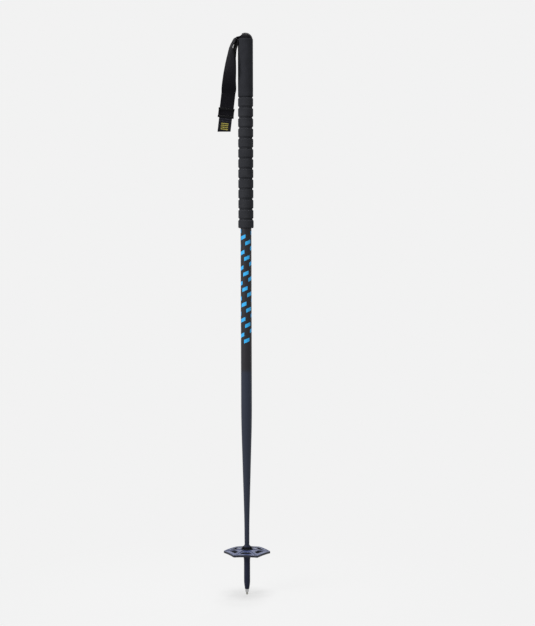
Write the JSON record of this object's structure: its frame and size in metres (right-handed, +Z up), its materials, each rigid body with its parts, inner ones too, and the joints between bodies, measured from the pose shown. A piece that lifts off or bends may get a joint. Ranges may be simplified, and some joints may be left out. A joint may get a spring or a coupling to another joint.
{
  "type": "ski pole",
  "caption": "Fixed-length ski pole: tapered alloy shaft, foam grip with a grooved extension, swinging wrist strap with a slider, turning hexagonal basket and a hard steel point.",
  "frame": {"origin": "the end of the hard point, on the shaft's axis, where the planted pole meets the snow", "axes": "+Z up the shaft from the point to the cap, +X to the right of the pictured view with the strap on the -X side, +Y away from that view"},
  "size_m": [0.0957, 0.0782, 1.0495],
  "materials": {
    "shaft_alloy": "satin",
    "plug_plastic": "satin",
    "handle_foam": "matte",
    "extension_foam": "matte",
    "cap_plastic": "satin",
    "screw_steel": "satin",
    "pin_steel": "satin",
    "strap_webbing": "matte",
    "slider_plastic": "satin",
    "tab_fabric": "matte",
    "ferrule_plastic": "satin",
    "basket_plastic": "satin",
    "collar_rubber": "matte",
    "sleeve_steel": "satin",
    "point_carbide": "matte"
  },
  "bodies": {
    "pole": {"shaft_tube": "shaft_alloy", "grip_plug": "plug_plastic", "handle_sleeve": "handle_foam", "grip_extension": "extension_foam", "top_cap": "cap_plastic", "cap_screw": "screw_steel", "strap_pin": "pin_steel", "tip_ferrule": "ferrule_plastic", "tip_sleeve": "sleeve_steel", "tip_point": "point_carbide"},
    "strap": {"strap_webbing": "strap_webbing", "strap_tab": "tab_fabric"},
    "slider": {"strap_slider": "slider_plastic"},
    "basket": {"basket_plate": "basket_plastic", "basket_collar": "collar_rubber"}
  },
  "joints": [
    {"name": "strap_swing", "type": "hinge", "parent": "pole", "child": "strap", "pos_m": [-0.0075, 0, 1.0405], "axis": [0, 1, 0], "range_deg": [0, 65]},
    {"name": "slider_slide", "type": "slide", "parent": "strap", "child": "slider", "axis": [0.1191, 0, 0.9929], "range_m": [0, 0.024]},
    {"name": "basket_spin", "type": "hinge", "parent": "pole", "child": "basket", "pos_m": [0, 0, 0.082], "axis": [0, 0, 1], "continuous": true}
  ]
}
